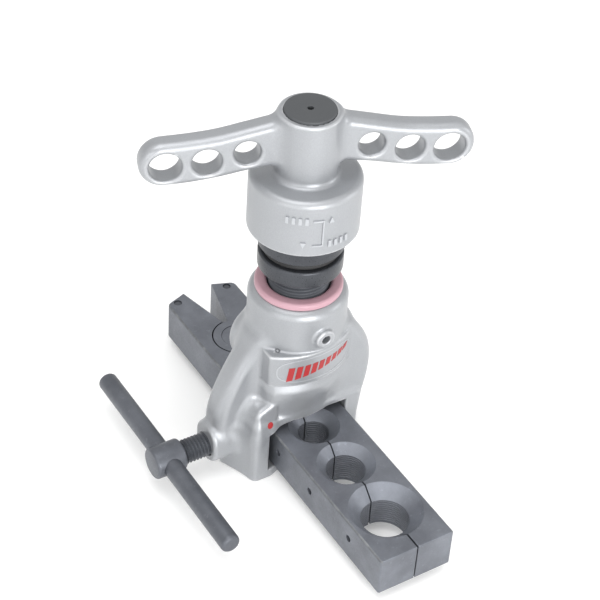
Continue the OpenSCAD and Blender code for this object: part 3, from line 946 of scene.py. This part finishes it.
SILVER = silver_paint()
# a copy of the silver paint, 1.3 times lighter, for the raised marks: it stands for paint rubbed off
# their tops and a painted highlight
MARKS_RUBBED_AND_HIGHLIT = silver_paint("silver_marks_rubbed_and_highlit", 0.0, 1.3)
DARK = dark_steel()
THREAD = dark_steel("dark_thread", 0.55, 0.36)
RING = dark_steel("ring_steel", 0.36, 0.30)
CLAMP_STEEL = dark_steel("clamp_steel", 0.76, 0.40)
MACHINED = dark_steel("machined_steel", 1.25, 0.42)
WORN = worn_steel()
GROUND = ground_steel()
POLISHED = ground_steel("polished_steel", (0.62, 0.62, 0.60), 0.12)
PINK = moulded("pink_plastic", (0.48, 0.29, 0.335), (0.43, 0.25, 0.29), 0.32, 500, 0.00002)
CAP = moulded("cap_plastic", (0.067, 0.071, 0.076), (0.051, 0.055, 0.059), 0.42, 900, 0.00002)
RUBBER = moulded("black_rubber", (0.012, 0.012, 0.013), (0.02, 0.02, 0.021), 0.6, 700, 0.00002)
RED = moulded("red_paint", (0.36, 0.022, 0.024), (0.29, 0.016, 0.018), 0.4, 600, 0.00002)
FINISH = {
    "silver_paint": SILVER,
    "dark_steel": DARK,
    "ground_steel": GROUND,
    "polished_steel": POLISHED,
    "pink_plastic": PINK,
    "cap_plastic": CAP,
    "black_rubber": RUBBER,
}


# ---- building ----

CAST_GRID = 0.55  # grid of the two castings
DOT_PLACE = (-18.9, 23.4)  # red dot on the leg, x and z
DOT_R = 1.4
BORDER_MIDDLE = (1.2, 51.6)  # raised oval on the panel: its middle and half its size
BORDER_HALF = (18.0, 5.8)
BORDER_SQUARE = (0.55, 0.75)  # below 1 the oval is squarer
BORDER_WIDTH = 0.45
BORDER_HEIGHT = 0.12
STRIPES = 9  # red bars on the panel
STRIPE_ENDS = (-14.5, 14.0)
STRIPE_SHARE = 0.72  # share of the pitch that a bar fills
STRIPE_SLANT = 0.9
STRIPE_HALF = 3.4  # half height of the first bar, and how much the last one shrinks
STRIPE_SHRINK = 0.75
STRIPE_BASE = 50.2  # height of the row's middle and its rise to the right
STRIPE_RISE = 3.8
STRIPE_HEIGHT = 0.14
MARK_CENTRE = math.radians(-108)  # raised marks on the barrel
MARK_HEIGHT = 0.55
MARK_PITCH = 2.4
MARK_UPPER = BARREL_LOW + 16.2
MARK_LOWER = BARREL_LOW + 5.4
BURIED = 0.3  # how deep a raised mark reaches into its casting
COLLAR_BORE = 12.4
FEED_R = 12.0
FEED_DEPTH = 0.8
FEED_PITCH = 1.5
FEED_BORE = 8.06
STOP_T = 7.2  # height of the stop ring on the feed screw
KEY_R = 0.95  # hexagon in the lock screw
KEY_DEPTH = 1.6
CLAMP_PITCH = 1.5
DRUM_T = 13.0
FIT = 0.08  # gap between a sliding bar and its hole


def build_yoke():
    """The casting, meshed a little outside its box, and the marks on it."""
    low = (BOSS_FACE - 1, YOKE_LOW[1] - 1, FLOOR_Z - 1)
    high = (31, 21, YOKE_HIGH[2] + 1)
    piece = field_mesh("yoke_casting", yoke_field, low, high, CAST_GRID)
    place(piece, "frame", "silver_paint", SILVER, "yoke")
    build_stripes()
    build_dot()
    build_border()


def wrapped(w, z, depth):
    """A point on the front panel: distance along its arc, height and distance out of it."""
    a = w / PANEL_R
    r = PANEL_R + depth
    return PANEL_X + r * math.sin(a), PANEL_Y - r * math.cos(a), z


def on_casting(x, z):
    """Matrix that stands a Z-turned piece on the front of the casting at x and z."""
    point = np.array([[x, YOKE_LOW[1] - 5, z]])
    for _ in range(80):
        point[0, 1] += 0.5 * yoke_field(*point.T)[0]
    outward = Vector(gradient(yoke_field, point)[0])
    turn = outward.to_track_quat("Z", "Y").to_matrix().to_4x4()
    return moved(*point[0]) @ turn


def build_border(steps=96):
    """A thin raised line round the decoration on the panel, a long oval."""
    verts, faces = [], []
    for k in range(steps):
        a = 2 * math.pi * k / steps
        c, s = math.cos(a), math.sin(a)
        along = BORDER_MIDDLE[0] + BORDER_HALF[0] * math.copysign(abs(c) ** BORDER_SQUARE[0], c)
        up = BORDER_MIDDLE[1] + BORDER_HALF[1] * math.copysign(abs(s) ** BORDER_SQUARE[1], s)
        for width, depth in (
            (0.0, -BURIED), (0.0, BORDER_HEIGHT),
            (BORDER_WIDTH, BORDER_HEIGHT), (BORDER_WIDTH, -BURIED),
        ):
            verts.append(wrapped(along - width * c, up - width * s, depth))
    for k in range(steps):
        m = (k + 1) % steps
        for j in range(4):
            n = (j + 1) % 4
            faces.append([4 * k + j, 4 * m + j, 4 * m + n, 4 * k + n])
    piece = make_mesh("panel_border", verts, faces, sharp=40)
    # the border gets the lighter silver: rubbed paint and a painted highlight
    place(piece, "frame", "silver_paint", MARKS_RUBBED_AND_HIGHLIT)


def add_prism(verts, faces, inner, outer):
    """Adds one raised mark between an inner and an outer outline with matching points."""
    base = len(verts)
    n = len(inner)
    for pair in zip(inner, outer):
        verts += pair
    faces.append([base + 2 * k + 1 for k in range(n)])
    faces.append([base + 2 * k for k in range(n)][::-1])
    for k in range(n):
        m = (k + 1) % n
        faces.append([base + 2 * k, base + 2 * m, base + 2 * m + 1, base + 2 * k + 1])


def build_stripes():
    """A generic row of slanted red bars along the panel."""
    start, end = STRIPE_ENDS
    verts, faces = [], []
    for i in range(STRIPES):
        t0, t1 = i / STRIPES, (i + STRIPE_SHARE) / STRIPES
        inner, outer = [], []
        for t, slant in ((t0, 0), (t1, 0), (t1, 1), (t0, 1)):
            x = start + (end - start) * t + STRIPE_SLANT * slant
            half = STRIPE_HALF * (1 - STRIPE_SHRINK * t)
            z = STRIPE_BASE + STRIPE_RISE * t + (half if slant else -half)
            along = PANEL_R * math.asin((x - PANEL_X) / PANEL_R)
            inner.append(wrapped(along, z, -BURIED - 0.1))
            outer.append(wrapped(along, z, STRIPE_HEIGHT))
        add_prism(verts, faces, inner, outer)
    piece = make_mesh("panel_stripes", verts, faces, sharp=30)
    place(piece, "frame", "silver_paint", RED)


def build_dot():
    """A red dot on the leg by the window."""
    dot = lathe("leg_dot", [(0, -1, 0), (DOT_R, -1, 0), (DOT_R, 0.12, 0.05), (0, 0.12, 0)], 32)
    turn_mesh(dot, on_casting(*DOT_PLACE))
    place(dot, "frame", "silver_paint", RED)


def build_handle():
    """Handle and barrel in one casting, its cap and the raised marks on the barrel."""
    low = (-ARM_REACH - ARM_END_R - 1.07, -BARREL_R - 1.03, BARREL_LOW - 1.13)
    high = (ARM_REACH + ARM_END_R + 1, BARREL_R + 1, HUB_TOP + 1)
    piece = field_mesh("handle_casting", handle_field, low, high, CAST_GRID)
    turn_mesh(piece, Matrix.Rotation(ARM_TURN, 4, "Z"))
    place(piece, "handle", "silver_paint", SILVER, "handle")
    build_barrel_marks()
    cap = lathe("handle_cap_disc", [
        (1.2, CAP_LOW[2], 0), (CAP_HIGH[0], CAP_LOW[2], 0), (CAP_HIGH[0], CAP_HIGH[2], 0.5),
        (1.2, CAP_HIGH[2], 0.25),
    ])
    place(cap, "handle", "cap_plastic", CAP, "handle_cap")


def on_barrel(outline, r):
    """An outline of (width, height) points wrapped round the barrel at a radius."""
    angles = [MARK_CENTRE + w / BARREL_R for w, _ in outline]
    return [(r * math.cos(a), r * math.sin(a), z) for a, (_, z) in zip(angles, outline)]


def row_of_bars(start, middle):
    """Outlines of four short upright bars in a row."""
    bars = []
    for i in range(4):
        left = start + MARK_PITCH * i
        right, low, high = left + 1.2, middle - 1.4, middle + 1.4
        bars.append([(left, low), (right, low), (right, high), (left, high)])
    return bars


def build_barrel_marks():
    """Generic raised marks: two rows of bars, an arrow up, an arrow down and a joining line."""
    upper, lower = MARK_UPPER, MARK_LOWER
    marks = row_of_bars(-12.2, upper) + row_of_bars(4.0, lower)
    marks.append([
        (-2.0, lower - 0.6), (2.0, lower - 0.6), (2.0, upper + 0.3), (-2.0, upper + 0.3),
        (-2.0, upper - 0.3), (1.5, upper - 0.3), (1.5, lower), (-2.0, lower),
    ])
    marks.append([(3.8, upper - 1.2), (5.8, upper - 1.2), (4.8, upper + 1.2)])
    marks.append([(-6.4, lower + 1.2), (-5.4, lower - 1.2), (-4.4, lower + 1.2)])
    verts, faces = [], []
    for mark in marks:
        inner = on_barrel(mark, BARREL_R - BURIED)
        add_prism(verts, faces, inner, on_barrel(mark, BARREL_R + MARK_HEIGHT))
    piece = make_mesh("barrel_marks", verts, faces, sharp=30)
    # the marks get the lighter silver: rubbed paint and a painted highlight
    place(piece, "handle", "silver_paint", MARKS_RUBBED_AND_HIGHLIT)


def build_feed():
    """The collar, the feed screw with its stop ring, and the lock screw in the neck."""
    outer = COLLAR_HIGH[0]
    collar = lathe("neck_collar_ring", [
        (COLLAR_BORE, COLLAR_LOW[2], 0), (outer, COLLAR_LOW[2], 0.3), (outer, COLLAR_HIGH[2], 2.2),
        (COLLAR_BORE, COLLAR_HIGH[2], 2.0),
    ], steps=9)
    place(collar, "frame", "pink_plastic", PINK, "neck_collar")
    low, stop, top = SCREW_LOW[2], SCREW_HIGH[2] - STOP_T, SCREW_HIGH[2]
    screw = thread("feed_screw_thread", FEED_R, FEED_DEPTH, FEED_PITCH, low, stop + 0.05, FEED_BORE)
    place(screw, "feed", "dark_steel", THREAD, "feed_screw")
    ring = lathe("feed_stop_ring", [
        (FEED_BORE, stop, 0), (SCREW_HIGH[0], stop, 0.7), (SCREW_HIGH[0], top, 1.0), (FEED_BORE, top, 0),
    ])
    place(ring, "feed", "dark_steel", RING, "feed_screw")
    length = LOCK_HIGH[1] - LOCK_LOW[1]
    lock = lathe("lock_screw", [
        (0, 0, 0), (LOCK_R, 0, 0), (LOCK_R, length, 0.3), (0, length, 0),
    ], 48)
    turn_mesh(lock, along_y(0, LOCK_HIGH[1], LOCK_Z))
    key = lathe("key", [(0, 0, 0), (KEY_R, 0, 0), (KEY_R, 3, 0), (0, 3, 0)], 6)
    cut_away(lock, turn_mesh(key, along_y(0, LOCK_LOW[1] + KEY_DEPTH, LOCK_Z)))
    lock.data.set_sharp_from_angle(angle=math.radians(30))
    place(lock, "frame", "dark_steel", THREAD, "bush_lock_screw")


def finish_half(piece):
    """Gives the long outer edges of a half the worn finish, and the countersinks the machined one."""
    piece.data.materials.append(WORN)
    piece.data.materials.append(MACHINED)
    for face in piece.data.polygons:
        tilt = abs(face.normal.z)
        outer = abs(face.center.x) > (BAR_HALF - BEVEL) * MM
        if outer and 0.25 < tilt < 0.97 and abs(face.normal.x) > 0.2:
            face.material_index = 1
        elif not outer and 0.6 < tilt < 0.78:
            face.material_index = 2


def build_bar():
    """Both halves of the bar with their finishes, the hinge pin and the tail pins."""
    for half, side, upper, body in (("right", 1, True, "bar"), ("left", -1, False, "bar_leaf")):
        piece = half_bar("die_half_" + half, side, upper)
        place(piece, body, "dark_steel", DARK, "die_bar_" + half)
        finish_half(piece)
    neck, head = BAR_TOP - PIN_HEAD_T + 0.02, PIN_HIGH[2] - PIN_RECESS
    pin = lathe("hinge_pin_head", [
        (0, 0, 0), (PIN_R, 0, 0.3), (PIN_R, neck, 0), (PIN_HEAD_R, neck, 0), (PIN_HEAD_R, head, 0.3),
        (0, head, 0),
    ])
    turn_mesh(pin, moved(0, PIVOT_Y, 0))
    place(pin, "bar", "dark_steel", DARK, "hinge_pin")
    build_tail_pin("tail_pin_right", "bar")
    build_tail_pin("tail_pin_left", "bar_leaf")


def build_tail_pin(node, body):
    """A small pin through the end of a tail."""
    low, high = node_box(node)
    middle = (low + high) / 2
    radius = high[0] - middle[0]
    peg = lathe(node + "_peg", [
        (0, 0.1, 0), (radius, 0.1, 0.2), (radius, high[2], 0.5), (0, high[2], 0),
    ], 40)
    turn_mesh(peg, moved(middle[0], middle[1], 0))
    place(peg, body, "dark_steel", THREAD, node)


def build_clamp():
    """Clamp screw with its drum, and the sliding tommy bar."""
    thread_end = node_box("clamp_tip")[0][0] - 0.1
    drum_face = CLAMP_LOW[0] + DRUM_T
    screw = thread("clamp_thread", CLAMP_R, CLAMP_DEPTH, CLAMP_PITCH, 0, thread_end - drum_face)
    turn_mesh(screw, along_x(drum_face, 0, CLAMP_Z))
    place(screw, "clamp", "dark_steel", THREAD, "clamp_screw")
    drum_r, length = CLAMP_HIGH[2] - CLAMP_Z, DRUM_T + 0.02
    drum = lathe("clamp_drum", [
        (0, 0, 0), (drum_r, 0, 1.1), (drum_r, length, 1.1), (0, length, 0),
    ], 96)
    turn_mesh(drum, along_x(CLAMP_LOW[0], 0, CLAMP_Z))
    tommy_r = (TOMMY_HIGH[0] - TOMMY_LOW[0]) / 2
    tommy_x = (TOMMY_HIGH[0] + TOMMY_LOW[0]) / 2
    bore, reach = tommy_r + FIT, 9
    hole = lathe("hole", [(0, -reach, 0), (bore, -reach, 0), (bore, reach, 0), (0, reach, 0)], 64)
    cut_away(drum, turn_mesh(hole, along_y(tommy_x, 0, CLAMP_Z)))
    drum.data.set_sharp_from_angle(angle=math.radians(35))
    place(drum, "clamp", "dark_steel", CLAMP_STEEL, "clamp_screw")
    length = TOMMY_HIGH[1] - TOMMY_LOW[1]
    bar = lathe("tommy_rod", [
        (0, 0, 0), (tommy_r, 0, 1.5), (tommy_r, length, 1.5), (0, length, 0),
    ], 64)
    turn_mesh(bar, along_y(tommy_x, TOMMY_HIGH[1], CLAMP_Z))
    place(bar, "tommy", "dark_steel", CLAMP_STEEL, "tommy_bar")


def finish_cad_nodes():
    """Gives every CAD node that stays its own finish."""
    slots = {part["node"]: part["material_slot"] for part in frame["record"]["subparts"]}
    for name, node in frame["nodes"].items():
        node.data.materials.clear()
        node.data.materials.append(RING if name == "clutch_ring" else FINISH[slots[name]])


# ---- stage, light and camera ----

FLOOR_HALF = 6000
LAMPS = (  # name, place, target, size in millimetres, and power in watts
    ("over", (-150, -100, 900), (0, 0, 60), 600, 3.0),
    ("left", (-850, -450, 350), (0, 0, 60), 600, 1.9),
    ("front", (-150, -950, 250), (0, 0, 40), 600, 7.0),
    ("right", (700, -450, 300), (0, 0, 60), 300, 1.0),
)
CAMERA_PLACE = (-297.7, -442.41, 517.83)
CAMERA_RIGHT = (0.8519, -0.5209, 0.0539)
CAMERA_UP = (0.3011, 0.5714, 0.7635)


def build_stage():
    """A wide pale floor under the feet."""
    signs = ((-1, -1), (1, -1), (1, 1), (-1, 1))
    corners = [(FLOOR_HALF * i, FLOOR_HALF * j, FLOOR_Z) for i, j in signs]
    floor = make_mesh("floor", corners, [[0, 1, 2, 3]])
    floor.data.materials.append(pale_floor())


def add_light(name, place_mm, target_mm, size, power):
    """A square soft light that looks at a point."""
    data = bpy.data.lights.new(name, "AREA")
    data.size = size * MM
    data.energy = power
    lamp = bpy.data.objects.new(name, data)
    bpy.context.scene.collection.objects.link(lamp)
    lamp.location = Vector(place_mm) * MM
    aim = Vector(target_mm) - Vector(place_mm)
    lamp.rotation_euler = aim.to_track_quat("-Z", "Y").to_euler()


def build_light():
    """Even studio light from all round, a little stronger from above, with soft boxes."""
    world = bpy.data.worlds.new("studio")
    world.use_nodes = True
    tree = world.node_tree
    coords = tree.nodes.new("ShaderNodeTexCoord")
    split = tree.nodes.new("ShaderNodeSeparateXYZ")
    tree.links.new(coords.outputs["Generated"], split.inputs["Vector"])
    back = tree.nodes["Background"]
    back.inputs["Color"].default_value = (1.0, 1.0, 1.0, 1)
    level = graded(tree, split.outputs["Z"], 0.0, 0.9, 0.70, 0.92)
    tree.links.new(level, back.inputs["Strength"])
    bpy.context.scene.world = world
    for lamp in LAMPS:
        add_light(*lamp)


def build_camera():
    """A long lens above the front left, tipped a little to the side."""
    data = bpy.data.cameras.new("camera")
    data.lens = 108
    data.sensor_width = 36
    data.clip_end = 50
    camera = bpy.data.objects.new("camera", data)
    bpy.context.scene.collection.objects.link(camera)
    right = Vector(CAMERA_RIGHT)
    back = right.cross(Vector(CAMERA_UP)).normalized()
    up = back.cross(right).normalized()
    matrix = Matrix((right.normalized(), up, back)).transposed().to_4x4()
    matrix.translation = Vector(CAMERA_PLACE) * MM
    camera.matrix_world = matrix
    bpy.context.scene.camera = camera


build_camera()
build_light()
build_stage()
finish_cad_nodes()
build_yoke()
build_handle()
build_feed()
build_bar()
build_clamp()
bpy.context.scene.view_settings.view_transform = "Standard"

bpy.context.view_layer.update()
